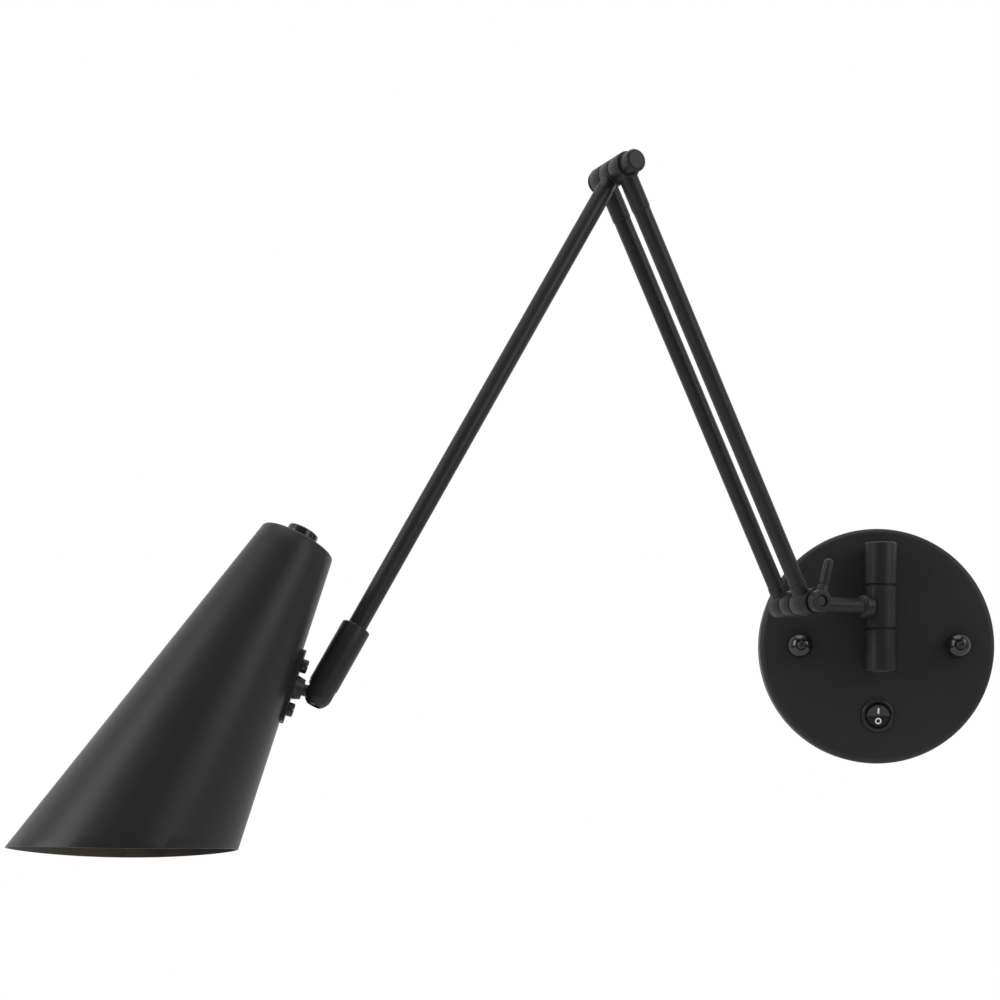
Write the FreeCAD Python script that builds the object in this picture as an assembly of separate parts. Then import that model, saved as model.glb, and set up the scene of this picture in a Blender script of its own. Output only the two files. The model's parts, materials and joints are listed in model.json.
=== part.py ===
"""Accordion wall lamp: a round wall canopy, an upright swivel, a fork of two rods,
a single upper rod and an obliquely cut cone shade on a ball joint.

Frame: the wall is the plane y = 0 and the lamp stands out of it along -Y, +Z is up,
and the origin is the middle of the mounting bar's back, on the wall.
The arm frame has its origin on the swivel's axis at the height of the side bar; the arm
reaches out along -X there, its pivots lie along Y, and their near ends point along -Y.
"""
import FreeCAD, Part
import math
import os

V = FreeCAD.Vector
ORIGIN = V(0, 0, 0)
X, Y, Z = V(1, 0, 0), V(0, 1, 0), V(0, 0, 1)

# --- clearances -----------------------------------------------------------------------
RUNNING = 0.05            # radial play of a pin or ball that turns in its seat
THREAD = 0.05             # radial play drawn at a screwed or plugged joint
SIDE_PLAY = 0.1           # play between two faces that turn against each other

# --- wall canopy ----------------------------------------------------------------------
PLATE_RADIUS = 60.0
PLATE_DEPTH = 14.0
PLATE_WALL = 1.5
PLATE_EDGE_ROUND = 3.0

# --- mounting bar, studs and ball nuts --------------------------------------------------
BAR_PLATE_LENGTH = 100.0
BAR_PLATE_WIDTH = 14.0
BAR_PLATE_THICK = 2.0
WALL_SCREW_SPACING = 60.0
WALL_SLOT_RADIUS = 2.3
WALL_SLOT_LENGTH = 10.0
STUD_SPACING = 80.0
STUD_RADIUS = 2.0
STUD_BEYOND_NUT = 4.5
BALL_NUT_RADIUS = 6.6
BALL_NUT_FLAT = 1.2       # cut off the ball where it sits on the canopy

# --- round rocker switch ----------------------------------------------------------------
SWITCH_DROP = 35.3        # below the canopy's middle
BEZEL_RADIUS = 8.3
BEZEL_THICK = 1.8
SWITCH_BODY_RADIUS = 7.2
SWITCH_BODY_DEPTH = 10.5  # behind the canopy's front face
ROCKER_RADIUS = 5.9       # swing of the rocker about its pivot
ROCKER_GAP = 0.35
ROCKER_PROUD = 1.3        # how far the rocker's ends stand out of the bezel
ROCKER_TILT = 9.0         # each way from level
ROCKER_OVER_PIN = 1.6     # from the pivot out to the middle of the rocker's face
ROCKER_UNDER_PIN = 1.4
ROCKER_PIN_RADIUS = 0.8
ROCKER_PIN_SPAN = 13.6
SWITCH_FLOOR = 1.5
TAB_WIDTH = 4.8
TAB_THICK = 0.8
TAB_LENGTH = 1.8
TAB_SPACING = 7.0

# --- upright swivel -----------------------------------------------------------------------
SWIVEL_STANDOFF = 24.5    # wall to the swivel's axis
SWIVEL_RADIUS = 8.2
SWIVEL_EDGE_ROUND = 1.0
SWIVEL_MIDDLE = 21.0
SWIVEL_END = 21.0
SWIVEL_PIN_RADIUS = 3.0
SWIVEL_PIN_COVER = 2.5    # closed top above the pin
SWIVEL_PIN_HEAD_RADIUS = 4.4
SWIVEL_PIN_HEAD = 2.0
SWIVEL_WASHER = 0.8
SWIVEL_WASHER_RADIUS = 7.2
POST_RADIUS = 4.5
POST_SCREW_RADIUS = 2.0
POST_SCREW_DEPTH = 6.0    # into the post, from the canopy's front face
POST_SCREW_HEAD_RADIUS = 3.6
POST_SCREW_HEAD = 2.4

# --- side bar ------------------------------------------------------------------------------
BAR_HEIGHT = 19.0         # above the canopy's middle
BAR_REACH = 52.9          # swivel's axis to the lower pivot
BAR_COLLAR_RADIUS = 6.0
BAR_COLLAR_END = 13.0     # from the swivel's axis
BAR_COLLAR_ROUND = 2.2
BAR_SPIGOT_RADIUS = 2.2
BAR_SPIGOT_SWIVEL = 3.2   # into the swivel's middle
BAR_SPIGOT_HUB = 2.4      # into the lower hub

# --- rods -----------------------------------------------------------------------------------
ROD_RADIUS = 4.0
ROD_WALL = 1.0
FORK_SPACING = 18.0       # between the axes of the two lower rods
LOWER_LENGTH = 216.6      # lower pivot to elbow
UPPER_LENGTH = 275.2      # elbow to the head's ball
SPIGOT_LENGTH = 6.0       # of every plug inside a rod's end

# --- pivots ---------------------------------------------------------------------------------
LOWER_KNUCKLE_RADIUS = 6.5
ELBOW_KNUCKLE_RADIUS = 6.0
KNUCKLE_WIDTH = 9.0
KNUCKLE_EDGE = 0.4
PIVOT_WASHER = 0.5
PIVOT_BOLT_RADIUS = 2.5
LOWER_BOLT_HEAD = 1.5
BOLT_HEAD_INSET = 0.5     # bolt head's radius under the knuckle's
NECK_RADIUS = 4.3
LOWER_NECK_END = 10.0     # from the lower pivot's axis
ELBOW_NECK_END = 20.0     # from the elbow's axis
ARM_NECK_RADIUS = 3.7
ARM_NECK_END = 10.0
ELBOW_CAP_RADIUS = 5.0
ELBOW_CAP_HEIGHT = 7.3
ELBOW_CAP_ROUND = 1.6
ELBOW_BOLT_IN_CAP = 5.0
ELBOW_BOLT_HEAD = 2.9

# --- clamp lever ----------------------------------------------------------------------------
CLAMP_COLLAR_HEIGHT = 4.8
CLAMP_COLLAR_ROUND = 0.8
LEVER_HUB_RADIUS = 5.5
LEVER_HUB_HEIGHT = 4.9
LEVER_RECESS = 1.0
LEVER_EYE_RADIUS = 2.4
LEVER_EYE_END = 8.0
LEVER_RADIUS = 2.3
LEVER_LENGTH = 21.2
LEVER_SPIGOT_RADIUS = 1.3
LEVER_SPIGOT = 2.0
LEVER_LEAN = -16.0        # degrees from upright, towards the swivel

# --- ball joint of the head -------------------------------------------------------------------
BALL_RADIUS = 4.5
BALL_CAP_RADIUS = 5.9
BALL_CAP_ABOVE = 4.2      # seam above the ball's centre
BALL_CAP_BELOW = 5.2      # cut end under the ball's centre
BALL_CAP_MOUTH = 3.4
SLEEVE_RADIUS = 6.2
SLEEVE_TOP = 32.6         # above the ball's centre
SLEEVE_EDGE = 0.8
ROD_IN_SLEEVE = 12.0
STEM_RADIUS = 2.5
STEM_SLOT_PLAY = 0.3
STEM_END = 9.3

# --- shade and its bracket ----------------------------------------------------------------------
SHADE_TOP_RADIUS = 15.6
SHADE_HALF_ANGLE = 9.4    # degrees
SHADE_SHORT_SIDE = 125.9  # along the slope, on the arm's side
SHADE_LONG_SIDE = 163.6   # along the slope, away from the arm
SHADE_EDGE_BOW = 1.7      # how far the slanted edge bulges down, halfway along
SHADE_WALL = 1.0
SHADE_TOP_THICK = 1.5
SHADE_TOP_ROUND = 1.2
SHADE_REACH = 11.3        # ball's centre to the shade's surface
BRACKET_DOWN = 56.2       # shade's top edge to the stem's axis, along the slope
STRAP_LENGTH = 30.8
STRAP_WIDTH = 11.0
STRAP_THICK = 1.5
BOSS_TOP_RADIUS = 4.2
BOSS_BASE_RADIUS = 5.3
BOSS_HEIGHT = 3.3
BRACKET_SCREW_SPACING = 18.8
BRACKET_SCREW_RADIUS = 1.6
BRACKET_SCREW_HEAD_RADIUS = 2.9
BRACKET_SCREW_HEAD = 2.4
BRACKET_NUT_RADIUS = 3.1
BRACKET_NUT = 2.4
BRACKET_NUT_OFF = 0.35    # flat nut against the curved inside of the shade

# --- lampholder ----------------------------------------------------------------------------------
NIPPLE_RADIUS = 5.0
NIPPLE_BORE = 3.5
CAP_NUT_RADIUS = 6.5
CAP_NUT_HEIGHT = 5.2
CAP_NUT_ROUND = 0.8
CAP_NUT_COVER = 1.4
LOCK_NUT_RADIUS = 8.0
LOCK_NUT = 3.0
HOLDER_RADIUS = 13.0
HOLDER_LENGTH = 45.0
HOLDER_WALL = 1.2
HOLDER_ROOF = 2.0
HOLDER_EDGE_ROUND = 1.5
NIPPLE_IN_HOLDER = 2.5
SOCKET_RADIUS = 7.1
SOCKET_DEPTH = 24.0
INSERT_SET_BACK = 1.5
CONTACT_RADIUS = 2.5
CONTACT_THICK = 1.0

# --- rest pose --------------------------------------------------------------------------------------
SWIVEL_REST = 30.0        # the arm's plane against the wall
LOWER_LEAN = 27.4         # fork from upright
UPPER_LEAN = 30.25        # upper rod from straight down
HEAD_TURN = 15.1          # end sleeve about the upper rod
SHADE_LEAN = 18.8         # shade's arm side from straight down, before that turn

# --- values that follow from the ones above -------------------------------------------------------
PLATE_FRONT = -PLATE_DEPTH
PLATE_INSIDE = PLATE_FRONT + PLATE_WALL
KNUCKLE_INNER = FORK_SPACING / 2 - KNUCKLE_WIDTH / 2
KNUCKLE_OUTER = FORK_SPACING / 2 + KNUCKLE_WIDTH / 2
HUB_HALF = KNUCKLE_INNER - PIVOT_WASHER - SIDE_PLAY
BOLT_HOLE = PIVOT_BOLT_RADIUS + RUNNING
TUBE_BORE = ROD_RADIUS - ROD_WALL
SPIGOT_RADIUS = TUBE_BORE - THREAD
SWIVEL_BORE = SWIVEL_PIN_RADIUS + RUNNING
SWIVEL_GAP = SWIVEL_WASHER + SIDE_PLAY
SWIVEL_HALF = SWIVEL_MIDDLE / 2
SWIVEL_TOP = SWIVEL_HALF + SWIVEL_GAP + SWIVEL_END
BALL_SEAT = BALL_RADIUS + RUNNING
STRAP_FACE = -SHADE_REACH + STRAP_THICK
HOLDER_TOP = -SHADE_TOP_THICK - LOCK_NUT
HOLDER_MOUTH = HOLDER_TOP - HOLDER_LENGTH
SLOPE = math.radians(SHADE_HALF_ANGLE)


# --- small geometry helpers ---------------------------------------------------------------------------
def rod(radius, start, end):
    """Round bar from one point to another."""
    run = end.sub(start)
    return Part.makeCylinder(radius, run.Length, start, run)


def rod_y(radius, y_start, y_end, x=0.0, z=0.0):
    return rod(radius, V(x, y_start, z), V(x, y_end, z))


def rod_z(radius, z_start, z_end, y=0.0):
    return rod(radius, V(0, y, z_start), V(0, y, z_end))


def block(low, high):
    """Box between two corners."""
    size = high.sub(low)
    return Part.makeBox(size.x, size.y, size.z, low)


def round_edges(shape, radius, chosen):
    """Fillet the edges whose centre passes the test."""
    edges = [edge for edge in shape.Edges if chosen(edge.CenterOfMass, edge)]
    return shape.makeFillet(radius, edges)


def round_rim(shape, radius, axis, place):
    """Fillet the circles that lie square to the axis at the given place along it."""
    def chosen(centre, edge):
        circle = isinstance(edge.Curve, Part.Circle)
        return circle and abs(centre.dot(axis) - place) < 0.01
    return round_edges(shape, radius, chosen)


def is_along_x(edge):
    return abs(abs(edge.tangentAt(edge.FirstParameter).x) - 1) < 0.001


def merge(first, *others):
    return first.fuse(list(others)).removeSplitter()


def hexagon(across_corners, start, end):
    """Hexagonal bar along X from start to end, at the given height."""
    points = []
    for corner in range(7):
        turn = math.radians(60 * corner)
        points.append(start.add(V(0, math.cos(turn), math.sin(turn)).multiply(across_corners)))
    return Part.Face(Part.makePolygon(points)).extrude(end.sub(start))


# --- frames -------------------------------------------------------------------------------------------
def turned(shape, axis, degrees, offset):
    placed = shape.copy()
    placed.rotate(ORIGIN, axis, degrees)
    placed.translate(offset)
    return placed


def in_arm(shape):
    """From the arm frame to the lamp's own frame."""
    return turned(shape, Z, SWIVEL_REST, V(0, -SWIVEL_STANDOFF, BAR_HEIGHT))


LOWER_PIVOT = V(-BAR_REACH, 0, 0)
LOWER_RUN = V(-math.sin(math.radians(LOWER_LEAN)), 0, math.cos(math.radians(LOWER_LEAN)))
ELBOW = LOWER_PIVOT.add(V(LOWER_RUN).multiply(LOWER_LENGTH))
UPPER_RUN = V(-math.sin(math.radians(UPPER_LEAN)), 0, -math.cos(math.radians(UPPER_LEAN)))
BALL = ELBOW.add(V(UPPER_RUN).multiply(UPPER_LENGTH))


def on_fork(shape):
    """Fork frame: lower pivot at the origin, the rods along +Z."""
    return in_arm(turned(shape, Y, -LOWER_LEAN, LOWER_PIVOT))


def at_elbow(shape):
    """Fork frame moved along to the elbow."""
    return on_fork(turned(shape, Z, 0, V(0, 0, LOWER_LENGTH)))


def on_upper(shape):
    """Upper frame: elbow at the origin, the rod along +Z, the shade on the +X side."""
    return in_arm(turned(shape, Y, 180 + UPPER_LEAN, ELBOW))


def on_sleeve(shape):
    """Upper frame with the end sleeve's turn about the rod."""
    return on_upper(turned(shape, Z, HEAD_TURN, ORIGIN))


def on_head(shape):
    """Head frame: ball at the origin, its stem along -X, the shade's side along Z."""
    return in_arm(turned(turned(shape, Y, SHADE_LEAN, ORIGIN), UPPER_RUN, HEAD_TURN, BALL))


def shade_to_head(shape):
    """Shade frame: middle of the shade's top at the origin, opening along -Z, arm on +X."""
    corner = V(SHADE_TOP_RADIUS * math.cos(SLOPE), 0, -SHADE_TOP_RADIUS * math.sin(SLOPE))
    offset = V(-SHADE_REACH, 0, BRACKET_DOWN).sub(corner)
    return turned(shape, Y, SHADE_HALF_ANGLE, offset)


# --- wall canopy and its fixing -------------------------------------------------------------------------
def wall_plate():
    outer = round_rim(rod_y(PLATE_RADIUS, 0, PLATE_FRONT), PLATE_EDGE_ROUND, Y, PLATE_FRONT)
    inner = rod_y(PLATE_RADIUS - PLATE_WALL, 0, PLATE_INSIDE)
    inner = round_rim(inner, PLATE_EDGE_ROUND - PLATE_WALL, Y, PLATE_INSIDE)
    holes = [rod_y(STUD_RADIUS + THREAD, 0, PLATE_FRONT - 1, x=side * STUD_SPACING / 2)
             for side in (-1, 1)]
    holes += [rod_y(POST_SCREW_RADIUS + THREAD, 0, PLATE_FRONT - 1, z=post_height(side))
              for side in (-1, 1)]
    holes.append(rod_y(SWITCH_BODY_RADIUS + THREAD, 0, PLATE_FRONT - 1, z=-SWITCH_DROP))
    return outer.cut(inner).cut(holes)


def mounting_bar():
    half = V(BAR_PLATE_LENGTH / 2, 0, BAR_PLATE_WIDTH / 2)
    plate = block(V(-half.x, -BAR_PLATE_THICK, -half.z), half)
    plate = round_edges(plate, 3.0, lambda centre, edge: abs(edge.Length - BAR_PLATE_THICK) < 0.01)
    cuts = []
    for side in (-1, 1):
        cuts.append(rod_y(STUD_RADIUS + THREAD, 1, -BAR_PLATE_THICK - 1, x=side * STUD_SPACING / 2))
        middle = side * WALL_SCREW_SPACING / 2
        reach = WALL_SLOT_LENGTH / 2 - WALL_SLOT_RADIUS
        for end in (middle - reach, middle + reach):
            cuts.append(rod_y(WALL_SLOT_RADIUS, 1, -BAR_PLATE_THICK - 1, x=end))
        cuts.append(block(V(middle - reach, -BAR_PLATE_THICK - 1, -WALL_SLOT_RADIUS),
                          V(middle + reach, 1, WALL_SLOT_RADIUS)))
    return plate.cut(cuts)


def nut_centre():
    return PLATE_FRONT - BALL_NUT_RADIUS + BALL_NUT_FLAT


def mounting_stud(side):
    tip = nut_centre() - BALL_NUT_RADIUS - STUD_BEYOND_NUT
    stud = rod_y(STUD_RADIUS, 0, tip, x=side * STUD_SPACING / 2)
    return round_rim(stud, 0.5, Y, tip)


def ball_nut(side):
    place = side * STUD_SPACING / 2
    ball = Part.makeSphere(BALL_NUT_RADIUS, V(place, nut_centre(), 0))
    behind = block(V(place - 20, PLATE_FRONT, -20), V(place + 20, PLATE_FRONT + 20, 20))
    bore = rod_y(STUD_RADIUS + THREAD, PLATE_FRONT + 1, PLATE_FRONT - 3 * BALL_NUT_RADIUS, x=place)
    return ball.cut([behind, bore])


# --- rocker switch ------------------------------------------------------------------------------------
BEZEL_FACE = PLATE_FRONT - BEZEL_THICK
ROCKER_RISE = ROCKER_RADIUS * math.tan(math.radians(ROCKER_TILT))
ROCKER_AXIS = BEZEL_FACE - ROCKER_PROUD + ROCKER_RISE + ROCKER_OVER_PIN


def switch_housing():
    back = PLATE_FRONT + SWITCH_BODY_DEPTH
    bezel = rod_y(BEZEL_RADIUS, PLATE_FRONT, BEZEL_FACE, z=-SWITCH_DROP)
    bezel = round_edges(bezel, 0.9, lambda centre, edge: abs(centre.y - BEZEL_FACE) < 0.01)
    body = rod_y(SWITCH_BODY_RADIUS, back, PLATE_FRONT, z=-SWITCH_DROP)
    well = rod_y(ROCKER_RADIUS + ROCKER_GAP, back - SWITCH_FLOOR, BEZEL_FACE - 1, z=-SWITCH_DROP)
    reach = ROCKER_PIN_SPAN / 2 + RUNNING
    pin = rod(ROCKER_PIN_RADIUS + RUNNING, V(-reach, ROCKER_AXIS, -SWITCH_DROP),
              V(reach, ROCKER_AXIS, -SWITCH_DROP))
    return merge(bezel, body).cut([well, pin])


def switch_rocker():
    """A round rocker with a shallow valley, drawn level and then tipped to one side."""
    face = ROCKER_AXIS - ROCKER_OVER_PIN
    foot = ROCKER_AXIS + ROCKER_UNDER_PIN
    outline = [(-ROCKER_RADIUS, face - ROCKER_RISE), (0, face), (ROCKER_RADIUS, face - ROCKER_RISE),
               (ROCKER_RADIUS, foot), (-ROCKER_RADIUS, foot), (-ROCKER_RADIUS, face - ROCKER_RISE)]
    points = [V(-ROCKER_RADIUS, y, z) for z, y in outline]
    pivot = V(0, ROCKER_AXIS, 0)
    body = Part.Face(Part.makePolygon(points)).extrude(V(2 * ROCKER_RADIUS, 0, 0))
    body = body.common(Part.makeSphere(ROCKER_RADIUS, pivot))
    half = ROCKER_PIN_SPAN / 2
    pin = rod(ROCKER_PIN_RADIUS, V(-half, ROCKER_AXIS, 0), V(half, ROCKER_AXIS, 0))
    rocker = merge(body, pin)
    rocker.rotate(pivot, X, ROCKER_TILT)
    rocker.translate(V(0, 0, -SWITCH_DROP))
    return rocker


def switch_terminals():
    back = PLATE_FRONT + SWITCH_BODY_DEPTH
    tabs = []
    for side in (-1, 1):
        middle = -SWITCH_DROP + side * TAB_SPACING / 2
        low = V(-TAB_WIDTH / 2, back, middle - TAB_THICK / 2)
        tabs.append(block(low, low.add(V(TAB_WIDTH, TAB_LENGTH, TAB_THICK))))
    return Part.makeCompound(tabs)


# --- upright swivel -----------------------------------------------------------------------------------
def post_height(side):
    """Height of a fixed segment's middle above the canopy's middle."""
    return BAR_HEIGHT + side * (SWIVEL_HALF + SWIVEL_GAP + SWIVEL_END / 2)


def swivel_knuckle(side):
    """Fixed segment with the post that holds it off the canopy."""
    near = BAR_HEIGHT + side * (SWIVEL_HALF + SWIVEL_GAP)
    far = BAR_HEIGHT + side * SWIVEL_TOP
    body = rod_z(SWIVEL_RADIUS, near, far, y=-SWIVEL_STANDOFF)
    body = round_rim(body, SWIVEL_EDGE_ROUND, Z, far)
    height = post_height(side)
    post = rod_y(POST_RADIUS, PLATE_FRONT, -SWIVEL_STANDOFF, z=height)
    screw_end = PLATE_FRONT - POST_SCREW_DEPTH - THREAD
    screw_hole = rod_y(POST_SCREW_RADIUS + THREAD, PLATE_FRONT, screw_end, z=height)
    if side > 0:
        bore = rod_z(SWIVEL_BORE, near, far - SWIVEL_PIN_COVER, y=-SWIVEL_STANDOFF)
        return merge(body, post).cut([bore, screw_hole])
    bore = rod_z(SWIVEL_BORE, near, far, y=-SWIVEL_STANDOFF)
    seat = rod_z(SWIVEL_PIN_HEAD_RADIUS + THREAD, far + SWIVEL_PIN_HEAD, far, y=-SWIVEL_STANDOFF)
    return merge(body, post).cut([bore, seat, screw_hole])


def swivel_pin():
    low = BAR_HEIGHT - SWIVEL_TOP
    high = BAR_HEIGHT + SWIVEL_TOP - SWIVEL_PIN_COVER - THREAD
    shank = rod_z(SWIVEL_PIN_RADIUS, low, high, y=-SWIVEL_STANDOFF)
    head = rod_z(SWIVEL_PIN_HEAD_RADIUS, low, low + SWIVEL_PIN_HEAD, y=-SWIVEL_STANDOFF)
    return merge(shank, head)


def swivel_washer(side):
    near = BAR_HEIGHT + side * (SWIVEL_HALF + SIDE_PLAY)
    far = near + side * SWIVEL_WASHER
    washer = rod_z(SWIVEL_WASHER_RADIUS, near, far, y=-SWIVEL_STANDOFF)
    return washer.cut(rod_z(SWIVEL_BORE, near, far, y=-SWIVEL_STANDOFF))


def post_screw(side):
    height = post_height(side)
    shank = rod_y(POST_SCREW_RADIUS, PLATE_INSIDE, PLATE_FRONT - POST_SCREW_DEPTH, z=height)
    head_end = PLATE_INSIDE + POST_SCREW_HEAD
    head = rod_y(POST_SCREW_HEAD_RADIUS, PLATE_INSIDE, head_end, z=height)
    head = round_rim(head, 0.8, Y, head_end)
    slot = block(V(-POST_SCREW_HEAD_RADIUS, head_end - 0.9, height - 0.5),
                 V(POST_SCREW_HEAD_RADIUS, head_end + 1, height + 0.5))
    return merge(shank, head).cut(slot)


def swivel_sleeve():
    """Turning segment, in the arm frame."""
    body = rod_z(SWIVEL_RADIUS, -SWIVEL_HALF, SWIVEL_HALF)
    bore = rod_z(SWIVEL_BORE, -SWIVEL_HALF, SWIVEL_HALF)
    depth = SWIVEL_RADIUS - BAR_SPIGOT_SWIVEL - THREAD
    seat = rod(BAR_SPIGOT_RADIUS + THREAD, V(-SWIVEL_RADIUS - 1, 0, 0), V(-depth, 0, 0))
    return body.cut([bore, seat])


# --- side bar and lower hub -----------------------------------------------------------------------------
def side_bar():
    inner = V(-SWIVEL_RADIUS + BAR_SPIGOT_SWIVEL, 0, 0)
    outer = V(-BAR_REACH + LOWER_KNUCKLE_RADIUS - BAR_SPIGOT_HUB, 0, 0)
    spigot = rod(BAR_SPIGOT_RADIUS, inner, outer)
    bar = rod(ROD_RADIUS, V(-SWIVEL_RADIUS / 2, 0, 0), V(-BAR_REACH, 0, 0))
    collar = rod(BAR_COLLAR_RADIUS, V(-SWIVEL_RADIUS / 2, 0, 0), V(-BAR_COLLAR_END, 0, 0))
    collar = round_rim(collar, BAR_COLLAR_ROUND, X, -BAR_COLLAR_END)
    swivel = rod_z(SWIVEL_RADIUS, -SWIVEL_MIDDLE, SWIVEL_MIDDLE)
    hub = rod_y(LOWER_KNUCKLE_RADIUS, -FORK_SPACING, FORK_SPACING, x=-BAR_REACH)
    return merge(merge(bar, collar).cut([swivel, hub]), spigot)


def lower_hub():
    """Middle of the lower pivot, fixed to the side bar."""
    body = rod_y(LOWER_KNUCKLE_RADIUS, -HUB_HALF, HUB_HALF)
    bore = rod_y(BOLT_HOLE, -HUB_HALF, HUB_HALF)
    depth = LOWER_KNUCKLE_RADIUS - BAR_SPIGOT_HUB - THREAD
    seat = rod(BAR_SPIGOT_RADIUS + THREAD, V(depth, 0, 0), V(LOWER_KNUCKLE_RADIUS + 1, 0, 0))
    hub = body.cut([bore, seat])
    hub.translate(LOWER_PIVOT)
    return hub


# --- fork -----------------------------------------------------------------------------------------------
def knuckle(radius, side, neck_end, up):
    """Outer segment of a pivot with the neck and plug that carry a rod along Z."""
    middle = side * FORK_SPACING / 2
    body = rod_y(radius, middle - KNUCKLE_WIDTH / 2, middle + KNUCKLE_WIDTH / 2)
    body = body.makeChamfer(KNUCKLE_EDGE, [edge for edge in body.Edges
                                           if isinstance(edge.Curve, Part.Circle)])
    neck = rod_z(NECK_RADIUS, 0, up * neck_end, y=middle)
    plug = rod_z(SPIGOT_RADIUS, 0, up * (neck_end + SPIGOT_LENGTH), y=middle)
    bore = rod_y(BOLT_HOLE, middle - KNUCKLE_WIDTH, middle + KNUCKLE_WIDTH)
    return merge(body, neck, plug).cut(bore)


def lower_knuckle(side):
    return on_fork(knuckle(LOWER_KNUCKLE_RADIUS, side, LOWER_NECK_END, 1))


def elbow_knuckle(side):
    return at_elbow(knuckle(ELBOW_KNUCKLE_RADIUS, side, ELBOW_NECK_END, -1))


def fork_rod(side):
    middle = side * FORK_SPACING / 2
    top = LOWER_LENGTH - ELBOW_NECK_END
    tube = rod_z(ROD_RADIUS, LOWER_NECK_END, top, y=middle)
    return on_fork(tube.cut(rod_z(TUBE_BORE, LOWER_NECK_END, top, y=middle)))


def pivot_washer(radius, side):
    inner = side * (KNUCKLE_INNER - PIVOT_WASHER)
    outer = side * KNUCKLE_INNER
    washer = rod_y(radius - KNUCKLE_EDGE, inner, outer)
    return washer.cut(rod_y(BOLT_HOLE, inner, outer))


def pivot_bolt(knuckle_radius, height, near_end):
    """Bolt along Y with a low head against the far knuckle."""
    head_end = KNUCKLE_OUTER + height
    head = rod_y(knuckle_radius - BOLT_HEAD_INSET, KNUCKLE_OUTER, head_end)
    head = round_rim(head, height / 2, Y, head_end)
    return merge(head, rod_y(PIVOT_BOLT_RADIUS, near_end, KNUCKLE_OUTER))


def lower_bolt():
    end = -KNUCKLE_OUTER - CLAMP_COLLAR_HEIGHT - SIDE_PLAY - LEVER_HUB_HEIGHT + LEVER_RECESS
    return on_fork(pivot_bolt(LOWER_KNUCKLE_RADIUS, LOWER_BOLT_HEAD, end))


def clamp_collar():
    end = -KNUCKLE_OUTER - CLAMP_COLLAR_HEIGHT
    collar = rod_y(LOWER_KNUCKLE_RADIUS, -KNUCKLE_OUTER, end)
    collar = round_rim(collar, CLAMP_COLLAR_ROUND, Y, end)
    return on_fork(collar.cut(rod_y(BOLT_HOLE, -KNUCKLE_OUTER, end)))


def elbow_bolt():
    end = -KNUCKLE_OUTER - ELBOW_BOLT_IN_CAP
    return at_elbow(pivot_bolt(ELBOW_KNUCKLE_RADIUS, ELBOW_BOLT_HEAD, end))


def elbow_cap():
    end = -KNUCKLE_OUTER - ELBOW_CAP_HEIGHT
    cap = rod_y(ELBOW_CAP_RADIUS, -KNUCKLE_OUTER, end)
    cap = round_rim(cap, ELBOW_CAP_ROUND, Y, end)
    depth = -KNUCKLE_OUTER - ELBOW_BOLT_IN_CAP - THREAD
    return at_elbow(cap.cut(rod_y(BOLT_HOLE, -KNUCKLE_OUTER, depth)))


# --- clamp lever ------------------------------------------------------------------------------------------
LEVER_BACK = -KNUCKLE_OUTER - CLAMP_COLLAR_HEIGHT - SIDE_PLAY
LEVER_MIDDLE = LEVER_BACK - LEVER_HUB_HEIGHT / 2


def on_lever(shape):
    """Lever frame: lower pivot at the origin, the lever along +Z."""
    return in_arm(turned(shape, Y, -LEVER_LEAN, LOWER_PIVOT))


def lever_hub():
    body = rod_y(LEVER_HUB_RADIUS, LEVER_BACK, LEVER_BACK - LEVER_HUB_HEIGHT)
    body = round_rim(body, 0.6, Y, LEVER_BACK - LEVER_HUB_HEIGHT)
    eye = rod_z(LEVER_EYE_RADIUS, 0, LEVER_EYE_END, y=LEVER_MIDDLE)
    bore = rod_y(BOLT_HOLE, LEVER_BACK + 1, LEVER_BACK - LEVER_HUB_HEIGHT - 1)
    seat = rod_z(LEVER_SPIGOT_RADIUS + THREAD, LEVER_EYE_END - LEVER_SPIGOT - THREAD, LEVER_EYE_END,
                 y=LEVER_MIDDLE)
    return on_lever(merge(body, eye).cut([bore, seat]))


def lever_handle():
    tip = LEVER_LENGTH - LEVER_RADIUS
    shaft = rod_z(LEVER_RADIUS, LEVER_EYE_END, tip, y=LEVER_MIDDLE)
    end = Part.makeSphere(LEVER_RADIUS, V(0, LEVER_MIDDLE, tip))
    spigot = rod_z(LEVER_SPIGOT_RADIUS, LEVER_EYE_END - LEVER_SPIGOT, LEVER_EYE_END, y=LEVER_MIDDLE)
    return on_lever(merge(shaft, end, spigot))


# --- upper arm ----------------------------------------------------------------------------------------------
def elbow_hub():
    body = rod_y(ELBOW_KNUCKLE_RADIUS, -HUB_HALF, HUB_HALF)
    neck = rod_z(ARM_NECK_RADIUS, 0, ARM_NECK_END)
    plug = rod_z(SPIGOT_RADIUS, 0, ARM_NECK_END + SPIGOT_LENGTH)
    shape = merge(body, neck.common(block(V(-20, -HUB_HALF, 0), V(20, HUB_HALF, 40))), plug)
    return on_upper(shape.cut(rod_y(BOLT_HOLE, -HUB_HALF, HUB_HALF)))


def upper_rod():
    end = UPPER_LENGTH - SLEEVE_TOP + ROD_IN_SLEEVE
    tube = rod_z(ROD_RADIUS, ARM_NECK_END, end)
    return on_upper(tube.cut(rod_z(TUBE_BORE, ARM_NECK_END, end)))


def head_sleeve():
    top = UPPER_LENGTH - SLEEVE_TOP
    seam = UPPER_LENGTH - BALL_CAP_ABOVE
    body = round_rim(rod_z(SLEEVE_RADIUS, top, seam), SLEEVE_EDGE, Z, top)
    bore = rod_z(ROD_RADIUS + RUNNING, top - 1, top + ROD_IN_SLEEVE + SIDE_PLAY)
    seat = Part.makeSphere(BALL_SEAT, V(0, 0, UPPER_LENGTH))
    return on_sleeve(body.cut([bore, seat]))


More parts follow.
